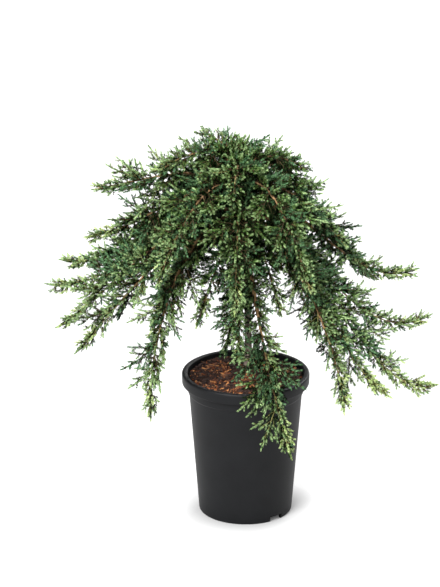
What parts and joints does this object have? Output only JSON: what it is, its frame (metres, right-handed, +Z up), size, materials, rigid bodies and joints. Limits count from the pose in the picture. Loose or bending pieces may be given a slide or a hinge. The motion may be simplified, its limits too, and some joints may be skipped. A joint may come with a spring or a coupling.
{
  "type": "potted weeping carpet juniper",
  "caption": "Weeping green carpet juniper trained as a small standard: a slim trunk, arching boughs and feathery needle sprays over a tapered black pot.",
  "frame": {"origin": "centre of the pot's flat underside", "axes": "+Z up along the pot's axis, -Y towards the viewer of the picture, +X to that viewer's right"},
  "size_m": [0.6509, 0.4608, 0.6687],
  "materials": {
    "pot": "satin charcoal black",
    "bark_mulch": "rough bark chips",
    "trunk_bark": "rough grey-brown bark",
    "bough_bark": "thin orange-brown bark",
    "needles": "matte green needles"
  },
  "bodies": {
    "root": {"pot": "pot", "bark_mulch": "bark_mulch", "trunk": "trunk_bark", "right_high_bough": "bough_bark", "right_middle_bough": "bough_bark", "right_low_bough": "bough_bark", "right_front_bough": "bough_bark", "right_hang_bough": "bough_bark", "front_trail_bough": "bough_bark", "front_left_tuft_bough": "bough_bark", "front_right_arch_bough": "bough_bark", "left_inner_bough": "bough_bark", "left_hang_bough": "bough_bark", "left_low_front_bough": "bough_bark", "left_low_bough": "bough_bark", "left_far_low_bough": "bough_bark", "left_far_high_bough": "bough_bark", "left_middle_bough": "bough_bark", "left_high_bough": "bough_bark", "back_right_high_bough": "bough_bark", "back_right_low_bough": "bough_bark", "back_middle_bough": "bough_bark", "back_left_low_bough": "bough_bark", "back_left_high_bough": "bough_bark", "right_high_needles": "needles", "right_middle_needles": "needles", "right_low_needles": "needles", "right_front_needles": "needles", "right_hang_needles": "needles", "front_trail_needles": "needles", "front_column_needles": "needles", "front_left_tuft_needles": "needles", "trunk_skirt_needles": "needles", "front_right_arch_needles": "needles", "left_inner_needles": "needles", "left_hang_needles": "needles", "left_low_front_needles": "needles", "left_low_needles": "needles", "left_far_low_needles": "needles", "left_far_high_needles": "needles", "left_middle_needles": "needles", "left_high_needles": "needles", "crown_left_needles": "needles", "crown_top_needles": "needles", "crown_right_needles": "needles", "crown_front_needles": "needles", "crown_back_needles": "needles", "shoulder_right_needles": "needles", "shoulder_front_right_needles": "needles", "shoulder_front_left_needles": "needles", "shoulder_front_needles": "needles", "back_right_high_needles": "needles", "back_right_low_needles": "needles", "back_middle_needles": "needles", "back_left_low_needles": "needles", "back_left_high_needles": "needles", "shoulder_back_right_needles": "needles", "shoulder_back_left_needles": "needles"}
  },
  "joints": []
}
